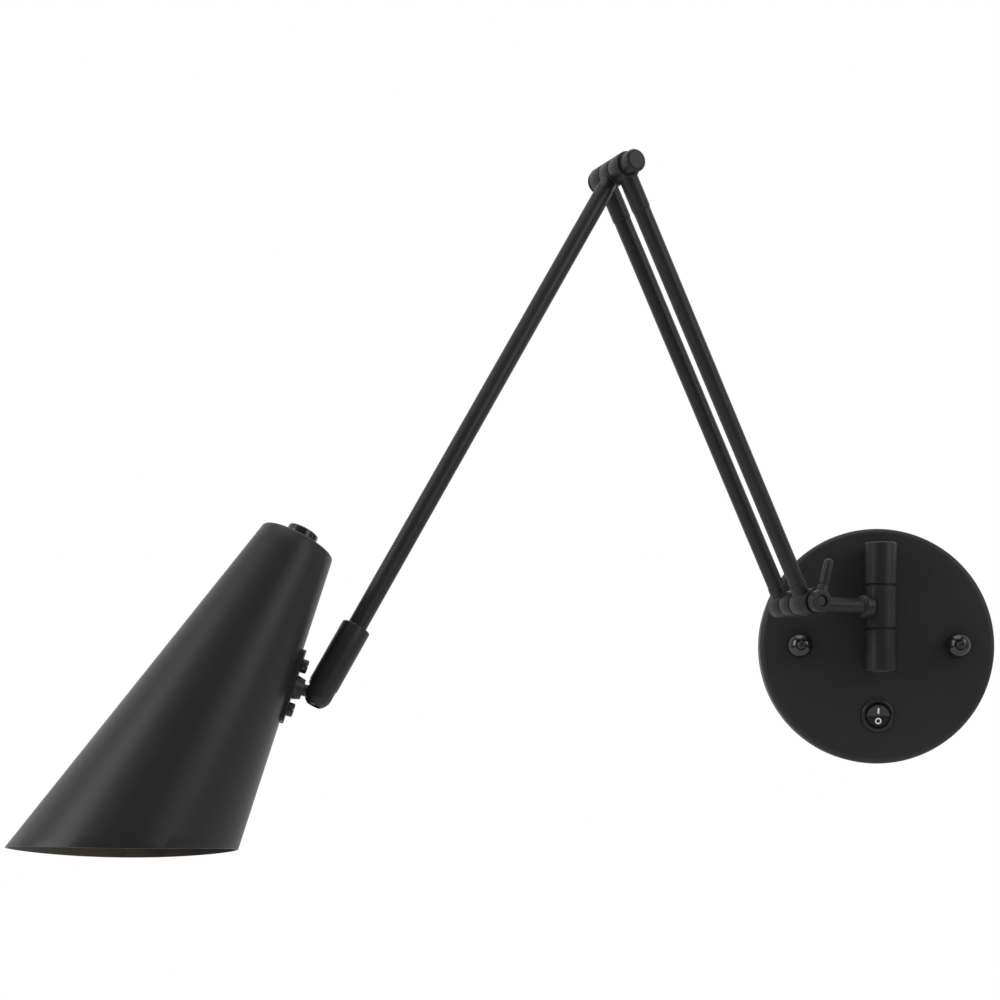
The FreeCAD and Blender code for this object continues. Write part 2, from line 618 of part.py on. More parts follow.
def ball_cap():
    """Rounded end of the sleeve that traps the ball, slotted for the stem."""
    centre = V(0, 0, UPPER_LENGTH)
    seam = UPPER_LENGTH - BALL_CAP_ABOVE
    end = UPPER_LENGTH + BALL_CAP_BELOW
    body = merge(Part.makeSphere(BALL_CAP_RADIUS, centre), rod_z(BALL_CAP_RADIUS, seam, UPPER_LENGTH))
    body = body.common(rod_z(SLEEVE_RADIUS, seam, end))
    hollow = Part.makeSphere(BALL_SEAT, centre)
    mouth = rod_z(BALL_CAP_MOUTH, UPPER_LENGTH, end + 1)
    half = STEM_RADIUS + STEM_SLOT_PLAY
    slot = block(V(0, -half, UPPER_LENGTH - half), V(SLEEVE_RADIUS + 1, half, end + 1))
    return on_sleeve(body.cut([hollow, mouth, slot]))


# --- ball stud ------------------------------------------------------------------------------------------------
def ball_stud():
    ball = Part.makeSphere(BALL_RADIUS, ORIGIN)
    return on_head(merge(ball, rod(STEM_RADIUS, ORIGIN, V(-STEM_END, 0, 0))))


# --- shade and bracket ------------------------------------------------------------------------------------------
def shade_cone(offset, top=0.0):
    """Solid cone of the shade, grown by an offset and started below the top."""
    length = SHADE_LONG_SIDE * math.cos(SLOPE) + 20
    grow = offset / math.cos(SLOPE)
    start = SHADE_TOP_RADIUS + grow + top * math.tan(SLOPE)
    end = SHADE_TOP_RADIUS + grow + length * math.tan(SLOPE)
    return Part.makeCone(start, end, length - top, V(0, 0, -top), V(0, 0, -1))


def below_rim():
    """Everything under the shade's slanted opening, whose edge bulges down a little."""
    far = V(-SHADE_TOP_RADIUS - SHADE_LONG_SIDE * math.sin(SLOPE), 0,
            -SHADE_LONG_SIDE * math.cos(SLOPE))
    near = V(SHADE_TOP_RADIUS + SHADE_SHORT_SIDE * math.sin(SLOPE), 0,
             -SHADE_SHORT_SIDE * math.cos(SLOPE))
    size = 2 * SHADE_LONG_SIDE
    tilt = math.degrees(math.atan2(near.z - far.z, near.x - far.x))
    half = near.distanceToPoint(far) / 2
    bow_radius = (half ** 2 + SHADE_EDGE_BOW ** 2) / (2 * SHADE_EDGE_BOW)
    bow = rod_y(bow_radius, -size, size, x=half, z=bow_radius - SHADE_EDGE_BOW)
    box = block(V(-size, -size / 2, -size), V(size, size / 2, 0))
    return turned(box.cut(bow), Y, -tilt, far)


def bracket_heights():
    return [side * BRACKET_SCREW_SPACING / 2 for side in (-1, 1)]


def bracket_holes():
    """Screw holes through the strap and the shade, in the head frame."""
    radius = BRACKET_SCREW_RADIUS + THREAD
    return [rod(radius, V(STRAP_FACE + 5, 0, z), V(-SHADE_REACH - 6, 0, z)) for z in bracket_heights()]


def shade():
    outer = round_rim(shade_cone(0), SHADE_TOP_ROUND, Z, 0)
    inner = shade_cone(-SHADE_WALL, SHADE_TOP_THICK)
    hole = rod_z(NIPPLE_RADIUS + THREAD, 1, -SHADE_TOP_THICK - 1)
    shell = outer.cut([inner, hole, below_rim()])
    return on_head(shade_to_head(shell).cut(bracket_holes()))


def shade_bracket():
    band = shade_to_head(shade_cone(STRAP_THICK).cut(shade_cone(0)))
    window = block(V(-SHADE_REACH - 4, -STRAP_WIDTH / 2, -STRAP_LENGTH / 2),
                   V(STRAP_FACE + 4, STRAP_WIDTH / 2, STRAP_LENGTH / 2))
    window = round_edges(window, 2.0, lambda centre, edge: is_along_x(edge))
    strap = band.common(window)
    boss = Part.makeCone(BOSS_BASE_RADIUS, BOSS_TOP_RADIUS, BOSS_HEIGHT + STRAP_THICK / 2,
                         V(STRAP_FACE - STRAP_THICK / 2, 0, 0), X)
    shape = merge(strap, boss.cut(shade_to_head(shade_cone(0))))
    stem_hole = rod(STEM_RADIUS + RUNNING, V(-STEM_END - SIDE_PLAY, 0, 0), V(0, 0, 0))
    return on_head(shape.cut([stem_hole] + bracket_holes()))


def bracket_screw(height):
    inner = -SHADE_REACH - SHADE_WALL - BRACKET_NUT_OFF - BRACKET_NUT - 1
    shank = rod(BRACKET_SCREW_RADIUS, V(STRAP_FACE, 0, height), V(inner, 0, height))
    face = STRAP_FACE + BRACKET_SCREW_HEAD
    head = rod(BRACKET_SCREW_HEAD_RADIUS, V(STRAP_FACE, 0, height), V(face, 0, height))
    head = round_edges(head, 0.7, lambda centre, edge: abs(centre.x - face) < 0.01)
    slot = block(V(face - 0.8, -BRACKET_SCREW_HEAD_RADIUS, height - 0.4),
                 V(face + 1, BRACKET_SCREW_HEAD_RADIUS, height + 0.4))
    return on_head(merge(shank, head).cut(slot))


def bracket_nut(height):
    outer = -SHADE_REACH - SHADE_WALL - BRACKET_NUT_OFF
    inner = outer - BRACKET_NUT
    nut = hexagon(BRACKET_NUT_RADIUS, V(outer, 0, height), V(inner, 0, height))
    hole = rod(BRACKET_SCREW_RADIUS + THREAD, V(outer + 1, 0, height), V(inner - 1, 0, height))
    return on_head(nut.cut(hole))


# --- lampholder ------------------------------------------------------------------------------------------------
def in_shade(shape):
    return on_head(shade_to_head(shape))


def cap_nut():
    cap = round_rim(rod_z(CAP_NUT_RADIUS, 0, CAP_NUT_HEIGHT), CAP_NUT_ROUND, Z, CAP_NUT_HEIGHT)
    return in_shade(cap.cut(rod_z(NIPPLE_RADIUS + THREAD, 0, CAP_NUT_HEIGHT - CAP_NUT_COVER)))


def nipple():
    high = CAP_NUT_HEIGHT - CAP_NUT_COVER - THREAD
    low = HOLDER_TOP - HOLDER_ROOF - NIPPLE_IN_HOLDER
    return in_shade(rod_z(NIPPLE_RADIUS, low, high).cut(rod_z(NIPPLE_BORE, low, high)))


def lock_nut():
    nut = rod_z(LOCK_NUT_RADIUS, -SHADE_TOP_THICK, HOLDER_TOP)
    return in_shade(nut.cut(rod_z(NIPPLE_RADIUS + THREAD, -SHADE_TOP_THICK, HOLDER_TOP)))


def holder_shell():
    body = rod_z(HOLDER_RADIUS, HOLDER_TOP, HOLDER_MOUTH)
    body = round_rim(body, HOLDER_EDGE_ROUND, Z, HOLDER_TOP)
    hollow = rod_z(HOLDER_RADIUS - HOLDER_WALL, HOLDER_TOP - HOLDER_ROOF, HOLDER_MOUTH)
    hole = rod_z(NIPPLE_RADIUS + THREAD, HOLDER_TOP + 1, HOLDER_TOP - HOLDER_ROOF - 1)
    return in_shade(body.cut([hollow, hole]))


SOCKET_FLOOR = HOLDER_MOUTH + INSERT_SET_BACK + SOCKET_DEPTH


def holder_insert():
    """Insulating body with the socket for the lamp's base."""
    top = HOLDER_TOP - HOLDER_ROOF - NIPPLE_IN_HOLDER - THREAD
    low = HOLDER_MOUTH + INSERT_SET_BACK
    body = rod_z(HOLDER_RADIUS - HOLDER_WALL - THREAD, top, low)
    socket = rod_z(SOCKET_RADIUS, SOCKET_FLOOR, low)
    recess = rod_z(CONTACT_RADIUS + THREAD, SOCKET_FLOOR + CONTACT_THICK, low)
    return in_shade(body.cut([socket, recess]))


def holder_contact():
    """Centre contact, flush with the socket's floor."""
    return in_shade(rod_z(CONTACT_RADIUS, SOCKET_FLOOR, SOCKET_FLOOR + CONTACT_THICK))


# --- all sub-parts, each in its own file --------------------------------------------------------------------------
PARTS = {
    "wall_plate": wall_plate(),
    "mounting_bar": mounting_bar(),
    "switch_housing": switch_housing(),
    "switch_rocker": switch_rocker(),
    "switch_terminals": switch_terminals(),
    "swivel_pin": swivel_pin(),
    "swivel_sleeve": in_arm(swivel_sleeve()),
    "side_bar": in_arm(side_bar()),
    "lower_hub": in_arm(lower_hub()),
    "lower_pivot_bolt": lower_bolt(),
    "clamp_collar": clamp_collar(),
    "elbow_bolt": elbow_bolt(),
    "elbow_cap": elbow_cap(),
    "lever_hub": lever_hub(),
    "lever_handle": lever_handle(),
    "elbow_hub": elbow_hub(),
    "upper_rod": upper_rod(),
    "head_sleeve": head_sleeve(),
    "ball_cap": ball_cap(),
    "ball_stud": ball_stud(),
    "shade": shade(),
    "shade_bracket": shade_bracket(),
    "cap_nut": cap_nut(),
    "nipple": nipple(),
    "lock_nut": lock_nut(),
    "holder_shell": holder_shell(),
    "holder_insert": holder_insert(),
    "holder_contact": holder_contact(),
}
for name, side in (("left", -1), ("right", 1)):
    PARTS["mounting_stud_" + name] = mounting_stud(side)
    PARTS["ball_nut_" + name] = ball_nut(side)
for name, side in (("bottom", -1), ("top", 1)):
    PARTS["swivel_knuckle_" + name] = swivel_knuckle(side)
    PARTS["swivel_washer_" + name] = swivel_washer(side)
    PARTS["post_screw_" + name] = post_screw(side)
for name, side in (("near", -1), ("far", 1)):
    PARTS["lower_knuckle_" + name] = lower_knuckle(side)
    PARTS["fork_rod_" + name] = fork_rod(side)
    PARTS["elbow_knuckle_" + name] = elbow_knuckle(side)
    PARTS["lower_washer_" + name] = on_fork(pivot_washer(LOWER_KNUCKLE_RADIUS, side))
    PARTS["elbow_washer_" + name] = at_elbow(pivot_washer(ELBOW_KNUCKLE_RADIUS, side))
for name, height in zip(("bottom", "top"), bracket_heights()):
    PARTS["bracket_screw_" + name] = bracket_screw(height)
    PARTS["bracket_nut_" + name] = bracket_nut(height)

os.makedirs("parts", exist_ok=True)
for name, shape in PARTS.items():
    box = shape.BoundBox
    print(name, "valid", shape.isValid(), "solids", len(shape.Solids), "volume", round(shape.Volume, 1),
          "box", [round(value, 1) for value in (box.XMin, box.YMin, box.ZMin, box.XMax, box.YMax, box.ZMax)])
    shape.exportStep(os.path.join("parts", name + ".step"))
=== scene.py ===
import json
import math
import bpy
from mathutils import Matrix, Vector


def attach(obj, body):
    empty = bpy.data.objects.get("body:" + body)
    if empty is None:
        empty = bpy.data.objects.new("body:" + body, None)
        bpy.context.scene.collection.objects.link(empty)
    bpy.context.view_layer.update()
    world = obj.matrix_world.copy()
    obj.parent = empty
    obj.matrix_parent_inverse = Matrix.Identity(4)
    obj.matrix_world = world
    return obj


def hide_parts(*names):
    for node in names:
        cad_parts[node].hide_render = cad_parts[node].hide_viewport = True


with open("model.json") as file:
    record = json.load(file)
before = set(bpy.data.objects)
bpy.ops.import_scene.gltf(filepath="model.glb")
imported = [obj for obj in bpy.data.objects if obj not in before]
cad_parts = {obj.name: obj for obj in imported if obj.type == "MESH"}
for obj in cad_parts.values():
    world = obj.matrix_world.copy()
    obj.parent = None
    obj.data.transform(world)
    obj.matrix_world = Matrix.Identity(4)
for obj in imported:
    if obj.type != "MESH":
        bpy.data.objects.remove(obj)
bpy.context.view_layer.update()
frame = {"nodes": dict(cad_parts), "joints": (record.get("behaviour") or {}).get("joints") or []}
mm = 0.001
joint_at = {joint["name"]: Vector(joint["pos_m"]) for joint in frame["joints"]}
joint_axis = {joint["name"]: Vector(joint["axis"]).normalized() for joint in frame["joints"]}


# Wall canopy: a shallow round pan spun from 1.5 mm steel, with a rounded front edge.
# It is powder coated black, open at the back, and pulled against the wall by two ball nuts.
def turned(name, rings, sides=96, bored=False):
    """A piece turned about Z: one ring is drawn out along the axis and resized at each (place, radius)."""
    bpy.ops.object.select_all(action="DESELECT")
    place, radius = rings[0]
    bpy.ops.mesh.primitive_circle_add(vertices=sides, radius=radius, location=(0, 0, place),
                                      fill_type="NOTHING" if bored else "NGON")
    piece = bpy.context.object
    piece.name = piece.data.name = name
    bpy.ops.object.transform_apply(location=True, rotation=False, scale=False)
    bpy.ops.object.mode_set(mode="EDIT")
    bpy.ops.mesh.select_all(action="SELECT")
    for next_place, next_radius in rings[1:] + (rings[:1] if bored else []):
        bpy.ops.mesh.extrude_region_move(TRANSFORM_OT_translate={"value": (0, 0, next_place - place)})
        grow = next_radius / radius
        bpy.ops.transform.resize(value=(grow, grow, 1), center_override=(0, 0, next_place))
        place, radius = next_place, next_radius
    bpy.ops.mesh.select_all(action="SELECT")
    bpy.ops.mesh.remove_doubles(threshold=1e-7)
    bpy.ops.mesh.normals_make_consistent(inside=False)
    bpy.ops.object.mode_set(mode="OBJECT")
    return piece


def corner(place, radius, round_by, towards_place, towards_radius, steps=6):
    """Rings round a turned corner: it leaves the first side and meets the second after a quarter circle."""
    centre = (place + towards_place * round_by, radius + towards_radius * round_by)
    rings = []
    for step in range(steps + 1):
        turn = math.radians(90 * step / steps)
        rings.append((centre[0] - towards_place * round_by * math.cos(turn),
                      centre[1] - towards_radius * round_by * math.sin(turn)))
    return rings


def facing(origin, forward, side):
    """The place whose +Z points forward and whose +X points to the side."""
    z = Vector(forward).normalized()
    y = z.cross(Vector(side)).normalized()
    return Matrix.Translation(origin) @ Matrix((y.cross(z), y, z)).transposed().to_4x4()


def finish(piece, place, material, body, nodes=(), angle=35):
    """Puts a finished mesh in its place, with its object left at the origin, hangs it on its body, and hides the CAD
    nodes that it stands for.
    """
    bpy.ops.object.select_all(action="DESELECT")
    bpy.context.view_layer.objects.active = piece
    piece.select_set(True)
    piece.matrix_world = place
    bpy.ops.object.transform_apply(location=True, rotation=True, scale=True)
    bpy.ops.object.shade_smooth_by_angle(angle=math.radians(angle))
    if not piece.data.materials:
        piece.data.materials.append(material)
    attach(piece, body)
    if nodes:
        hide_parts(*nodes)
    return piece


def soften(piece, width, segments=3, angle=40):
    """Rounds a piece's edges with a bevel."""
    bevel = piece.modifiers.new("edges", "BEVEL")
    bevel.width = width
    bevel.segments = segments
    bevel.limit_method = "ANGLE"
    bevel.angle_limit = math.radians(angle)
    bpy.context.view_layer.objects.active = piece
    bpy.ops.object.modifier_apply(modifier="edges")


def powder_coat(name, colour, roughness, grain=1.0, shine=0.3):
    """Baked powder paint: a fine pebbled skin, slightly uneven in colour and in sheen."""
    paint = bpy.data.materials.new(name)
    paint.use_nodes = True
    nodes, links = paint.node_tree.nodes, paint.node_tree.links
    shader = nodes["Principled BSDF"]
    shader.inputs["Specular IOR Level"].default_value = shine
    place = nodes.new("ShaderNodeTexCoord")
    clouds = nodes.new("ShaderNodeTexNoise")
    clouds.inputs["Scale"].default_value = 38
    clouds.inputs["Detail"].default_value = 4
    tint = nodes.new("ShaderNodeMix")
    tint.data_type = "RGBA"
    tint.inputs["A"].default_value = (*[channel * 0.86 for channel in colour], 1)
    tint.inputs["B"].default_value = (*[channel * 1.14 for channel in colour], 1)
    sheen = nodes.new("ShaderNodeMapRange")
    sheen.inputs["To Min"].default_value = roughness - 0.04
    sheen.inputs["To Max"].default_value = roughness + 0.05
    pebbles = nodes.new("ShaderNodeTexNoise")
    pebbles.inputs["Scale"].default_value = 1500
    pebbles.inputs["Detail"].default_value = 2
    skin = nodes.new("ShaderNodeBump")
    skin.inputs["Strength"].default_value = 0.05 * grain
    skin.inputs["Distance"].default_value = 0.0002
    links.new(place.outputs["Object"], clouds.inputs["Vector"])
    links.new(place.outputs["Object"], pebbles.inputs["Vector"])
    links.new(clouds.outputs["Fac"], tint.inputs["Factor"])
    links.new(clouds.outputs["Fac"], sheen.inputs["Value"])
    links.new(tint.outputs["Result"], shader.inputs["Base Color"])
    links.new(sheen.outputs["Result"], shader.inputs["Roughness"])
    links.new(pebbles.outputs["Fac"], skin.inputs["Height"])
    links.new(skin.outputs["Normal"], shader.inputs["Normal"])
    return paint


canopy_radius, canopy_depth, canopy_wall = 60 * mm, 14 * mm, 1.5 * mm
canopy_edge = 3 * mm
canopy_paint = powder_coat("canopy_paint", (0.014, 0.014, 0.0145), 0.5)
canopy_rings = [(canopy_depth - canopy_wall, radius * mm) for radius in (0.05, 12, 30, 48)]
canopy_rings += corner(canopy_depth - canopy_wall, canopy_radius - canopy_wall, canopy_edge - canopy_wall, -1, -1)
canopy_rings += [(0.4 * mm, canopy_radius - canopy_wall), (0, canopy_radius - canopy_wall + 0.4 * mm)]
canopy_rings += [(0, canopy_radius)] + corner(canopy_depth, canopy_radius, canopy_edge, -1, -1)[::-1]
canopy_rings += [(canopy_depth, radius * mm) for radius in (48, 36, 24, 12, 0.05)]
canopy = turned("canopy", canopy_rings, sides=192)
on_wall = facing((0, 0, 0), (0, -1, 0), (1, 0, 0))
finish(canopy, on_wall, canopy_paint, "base", ["wall_plate"])


# Mounting bar and post screws: pressed and turned from zinc-plated steel.
# The bar is screwed to the wall first; the screws come through the canopy from behind into the posts.
def bare_metal(name, colour, roughness, metallic=1.0, streak=1.0):
    """Plated or drawn metal: fine lengthwise streaks and cloudy patches in its sheen."""
    metal = bpy.data.materials.new(name)
    metal.use_nodes = True
    nodes, links = metal.node_tree.nodes, metal.node_tree.links
    shader = nodes["Principled BSDF"]
    shader.inputs["Metallic"].default_value = metallic
    place = nodes.new("ShaderNodeTexCoord")
    stretch = nodes.new("ShaderNodeMapping")
    stretch.inputs["Scale"].default_value = (60, 900, 900)
    streaks = nodes.new("ShaderNodeTexNoise")
    streaks.inputs["Scale"].default_value = 1
    streaks.inputs["Detail"].default_value = 3
    clouds = nodes.new("ShaderNodeTexNoise")
    clouds.inputs["Scale"].default_value = 160
    tint = nodes.new("ShaderNodeMix")
    tint.data_type = "RGBA"
    tint.inputs["A"].default_value = (*[channel * 0.8 for channel in colour], 1)
    tint.inputs["B"].default_value = (*[min(1, channel * 1.15) for channel in colour], 1)
    sheen = nodes.new("ShaderNodeMapRange")
    sheen.inputs["To Min"].default_value = roughness - 0.08 * streak
    sheen.inputs["To Max"].default_value = roughness + 0.1 * streak
    links.new(place.outputs["Object"], stretch.inputs["Vector"])
    links.new(stretch.outputs["Vector"], streaks.inputs["Vector"])
    links.new(place.outputs["Object"], clouds.inputs["Vector"])
    links.new(clouds.outputs["Fac"], tint.inputs["Factor"])
    links.new(streaks.outputs["Fac"], sheen.inputs["Value"])
    links.new(tint.outputs["Result"], shader.inputs["Base Color"])
    links.new(sheen.outputs["Result"], shader.inputs["Roughness"])
    return metal


def repaint(material, *names):
    """Gives a CAD piece whose shape is right its finish."""
    for name in names:
        piece = frame["nodes"][name]
        piece.data.materials.clear()
        piece.data.materials.append(material)


zinc = bare_metal("zinc_plating", (0.52, 0.52, 0.5), 0.38)
repaint(zinc, "mounting_bar", "post_screw_top", "post_screw_bottom", "swivel_pin", "nipple", "lock_nut",
        "bracket_nut_top", "bracket_nut_bottom")


# Studs: two steel studs screwed into the mounting bar, with a rolled thread from end to end.
# Their blackened tips stand out of the ball nuts.
stud_radius, stud_pitch = 2.0 * mm, 0.7 * mm
stud_apart, stud_tip = 40 * mm, 30.5 * mm
stud_black = bare_metal("blackened_steel", (0.03, 0.03, 0.032), 0.36, metallic=0.6)
thread_rings = [(0, stud_radius - 0.35 * mm)]
turns_of_thread = int((stud_tip - 1.2 * mm) / stud_pitch)
for turn in range(turns_of_thread):
    crest = 0.3 * mm + turn * stud_pitch
    thread_rings += [(crest, stud_radius), (crest + 0.12 * mm, stud_radius),
                     (crest + 0.35 * mm, stud_radius - 0.32 * mm)]
thread_rings += [(stud_tip - 0.8 * mm, stud_radius - 0.1 * mm), (stud_tip - 0.3 * mm, stud_radius - 0.25 * mm),
                 (stud_tip, stud_radius - 0.7 * mm)]
for side, name in ((-1, "left"), (1, "right")):
    stud = turned("stud_" + name, thread_rings, sides=32)
    finish(stud, facing((side * stud_apart, 0, 0), (0, -1, 0), (1, 0, 0)), stud_black, "base",
           ["mounting_stud_" + name], angle=50)

# Ball nuts: solid balls turned from bar, flat where they press on the canopy, and lacquered gloss black.
# A small countersink leads the stud through.
ball_radius, ball_flat = 6.6 * mm, 1.2 * mm
gloss_lacquer = powder_coat("gloss_lacquer", (0.008, 0.008, 0.0085), 0.16, grain=0.12, shine=0.5)
ball_middle = canopy_depth + ball_radius - ball_flat
ball_rings = [(-ball_radius + ball_flat, 2.1 * mm)]
start_turn = math.acos(1 - ball_flat / ball_radius)
end_turn = math.pi - math.asin(2.6 * mm / ball_radius)
for step in range(25):
    turn = start_turn + (end_turn - start_turn) * step / 24
    ball_rings.append((-ball_radius * math.cos(turn), ball_radius * math.sin(turn)))
ball_rings.append((ball_radius * math.cos(math.asin(2.6 * mm / ball_radius)) - 0.5 * mm, 2.1 * mm))
for side, name in ((-1, "left"), (1, "right")):
    ball = turned("ball_nut_piece_" + name, ball_rings, sides=64, bored=True)
    finish(ball, facing((side * stud_apart, -ball_middle, 0), (0, -1, 0), (1, 0, 0)), gloss_lacquer, "base",
           ["ball_nut_" + name])


# Rocker switch: a moulded bezel and well snapped into the canopy, with a round rocker on two small pins.
# The rocker carries the plain marks I and O, printed in pale grey.
def moulded(name, colour, roughness, grain=1.0):
    """Injection moulded plastic: a soft sheen with a faint spark-eroded grain."""
    return powder_coat(name, colour, roughness, grain=0.5 * grain, shine=0.4)


switch_drop = 35.3 * mm
well_radius, housing_radius, bezel_radius = 6.25 * mm, 7.2 * mm, 8.3 * mm
bezel_rings = [(-10.5 * mm, 0.05 * mm), (-10.5 * mm, housing_radius), (0, housing_radius), (0, bezel_radius)]
bezel_rings += corner(1.8 * mm, bezel_radius, 0.9 * mm, -1, -1)[::-1]
bezel_rings += [(1.8 * mm, well_radius + 0.6 * mm), (1.5 * mm, well_radius + 0.2 * mm), (1.2 * mm, well_radius),
                (-9.0 * mm, well_radius), (-9.0 * mm, 0.05 * mm)]
bezel_plastic = moulded("switch_plastic", (0.014, 0.014, 0.0145), 0.27)
bezel = turned("switch_bezel", bezel_rings, sides=96)
switch_place = facing((0, -canopy_depth, -switch_drop), (0, -1, 0), (1, 0, 0))
finish(bezel, switch_place, bezel_plastic, "base", ["switch_housing"])
rocker_plastic = moulded("rocker_plastic", (0.013, 0.013, 0.0135), 0.2, grain=0.5)
repaint(rocker_plastic, "switch_rocker")
tab_brass = bare_metal("brass_tabs", (0.7, 0.5, 0.2), 0.3)
repaint(tab_brass, "switch_terminals", "holder_contact")

print_ink = moulded("pale_print", (0.6, 0.6, 0.58), 0.45)
tilt = math.radians(9)
rocker_axis = joint_at["switch_rock"]
for name, up, letter_rise, half in (("mark_on", 1, 2.6 * mm, None), ("mark_off", -1, -2.6 * mm, 1.6 * mm)):
    if half is None:
        bpy.ops.object.select_all(action="DESELECT")
        bpy.ops.mesh.primitive_cube_add(size=1, location=(0, 0, 0))
        mark = bpy.context.object
        mark.scale = (0.9 * mm, 2.9 * mm, 0.06 * mm)
        bpy.ops.object.transform_apply(location=True, rotation=True, scale=True)
        soften(mark, 0.02 * mm, segments=1)
    else:
        mark = turned(name, [(-0.03 * mm, half), (0.03 * mm, half), (0.03 * mm, half - 0.65 * mm),
                             (-0.03 * mm, half - 0.65 * mm)], sides=48, bored=True)
    mark.name = mark.data.name = name
    slope = tilt * up
    level_place = Matrix.Translation((0, letter_rise, 1.6 * mm + abs(letter_rise) * math.tan(tilt) + 0.02 * mm))
    face_tilt = Matrix.Rotation(slope, 4, "X")
    press = Matrix.Rotation(tilt, 4, "X")
    rocker_place = facing(rocker_axis, (0, -1, 0), (1, 0, 0))
    finish(mark, rocker_place @ press @ level_place @ face_tilt, print_ink, "switch_key")


# Upright swivel: two fixed segments on short posts, and a turning one between them on a steel pin.
# All three are turned from 16 mm bar and coated; thin nylon washers show as dark lines between them.
swivel_radius, segment = 8.2 * mm, 21 * mm
swivel_at = joint_at["swivel"]
arm_paint = powder_coat("arm_paint", (0.011, 0.011, 0.0115), 0.42, grain=0.25)
washer_nylon = moulded("nylon_washers", (0.006, 0.006, 0.006), 0.6)
repaint(washer_nylon, "swivel_washer_top", "swivel_washer_bottom", "lower_washer_near", "lower_washer_far",
        "elbow_washer_near", "elbow_washer_far")
post_radius, post_length = 4.5 * mm, -swivel_at.y - canopy_depth
for side, name in ((-1, "bottom"), (1, "top")):
    near_end = side * (segment / 2 + 0.9 * mm)
    far_end = near_end + side * segment
    outer_end = corner(far_end, swivel_radius, 1.0 * mm, -side, -1)[::-1]
    if side > 0:
        rings = [(far_end - 2.5 * mm, 0.05 * mm), (far_end - 2.5 * mm, 3.05 * mm), (near_end, 3.05 * mm),
                 (near_end, swivel_radius - 0.3 * mm), (near_end + 0.3 * mm, swivel_radius)]
        rings += outer_end + [(far_end, 3 * mm), (far_end, 0.05 * mm)]
    else:
        rings = [(near_end, 3.05 * mm), (near_end, swivel_radius - 0.3 * mm), (near_end - 0.3 * mm, swivel_radius)]
        rings += outer_end + [(far_end, 4.45 * mm), (far_end + 2 * mm, 4.45 * mm), (far_end + 2 * mm, 3.05 * mm)]
    drum = turned("swivel_drum_" + name, rings, sides=96, bored=side < 0)
    finish(drum, facing(swivel_at, (0, 0, 1), (1, 0, 0)), arm_paint, "base", ["swivel_knuckle_" + name])
    height = swivel_at.z + (near_end + far_end) / 2
    post_rings = [(0, post_radius + 0.9 * mm), (0.3 * mm, post_radius + 0.4 * mm), (0.9 * mm, post_radius),
                  (post_length - 4 * mm, post_radius), (post_length - 2 * mm, post_radius)]
    post = turned("swivel_post_" + name, post_rings, sides=64)
    finish(post, facing((0, -canopy_depth, height), (0, -1, 0), (1, 0, 0)), arm_paint, "base")
sleeve_rings = [(-segment / 2, 3.05 * mm), (-segment / 2, swivel_radius - 0.3 * mm),
                (-segment / 2 + 0.3 * mm, swivel_radius), (segment / 2 - 0.3 * mm, swivel_radius),
                (segment / 2, swivel_radius - 0.3 * mm), (segment / 2, 3.05 * mm)]
sleeve = turned("swivel_drum_middle", sleeve_rings, sides=96, bored=True)
finish(sleeve, facing(swivel_at, (0, 0, 1), (1, 0, 0)), arm_paint, "swivel_arm", ["swivel_sleeve"])

# Side bar: an 8 mm bar plugged into the swivel, under a rounded collar, and into the lower pivot's hub.
pivot_at = joint_at["lower_pivot"]
outward = (pivot_at - swivel_at).normalized()
reach = (pivot_at - swivel_at).length
near_side = joint_axis["lower_pivot"]
rod_radius, hub_radius = 4 * mm, 6.5 * mm
bar_rings = [(7.4 * mm, 6.0 * mm), (10.6 * mm, 6.0 * mm)]
bar_rings += corner(13 * mm, 6.0 * mm, 2.0 * mm, -1, -1)[::-1][1:]
bar_rings += [(13.0 * mm, rod_radius + 0.25 * mm), (13.3 * mm, rod_radius), (25 * mm, rod_radius),
              (reach - hub_radius - 0.9 * mm, rod_radius), (reach - hub_radius + 0.4 * mm, rod_radius + 0.1 * mm)]
side_bar = turned("side_bar_piece", bar_rings, sides=64)
finish(side_bar, facing(swivel_at, outward, (0, 0, 1)), arm_paint, "swivel_arm", ["side_bar"])

# Lower pivot: a hub between two knuckles on one bolt. Each knuckle is turned across its bore and
# carries a necked plug that the fork's rod is pressed over.
fork_up = (joint_at["elbow"] - pivot_at).normalized()
fork_length = (joint_at["elbow"] - pivot_at).length
half_fork, knuckle_wide = 9 * mm, 9 * mm
bolt_hole = 2.55 * mm


def barrel(name, radius, from_place, to_place, edge, place, material, body, nodes=(), hole=bolt_hole):
    """A short bored cylinder of a pivot, with broken edges."""
    rings = [(from_place, hole), (from_place, radius - edge), (from_place + edge * 0.35, radius - edge * 0.35),
             (from_place + edge, radius), (to_place - edge, radius), (to_place - edge * 0.35, radius - edge * 0.35),
             (to_place, radius - edge), (to_place, hole)]
    piece = turned(name, rings, sides=96, bored=True)
    return finish(piece, place, material, body, nodes)


lower_pivot_place = facing(pivot_at, near_side, fork_up)
barrel("pivot_hub", hub_radius, -3.9 * mm, 3.9 * mm, 0.25 * mm, lower_pivot_place, arm_paint, "swivel_arm",
       ["lower_hub"])
for side, name in ((1, "near"), (-1, "far")):
    middle = side * half_fork
    barrel("lower_knuckle_barrel_" + name, hub_radius, middle - knuckle_wide / 2, middle + knuckle_wide / 2,
           0.45 * mm, lower_pivot_place, arm_paint, "fork", ["lower_knuckle_" + name])
    neck_rings = [(4.6 * mm, 4.3 * mm), (6.4 * mm, 4.3 * mm), (9.8 * mm, 4.3 * mm), (10 * mm, 4.1 * mm),
                  (10 * mm, 2.95 * mm), (16 * mm, 2.95 * mm)]
    neck = turned("lower_neck_" + name, neck_rings, sides=64)
    finish(neck, facing(pivot_at + near_side * middle, fork_up, near_side), arm_paint, "fork")

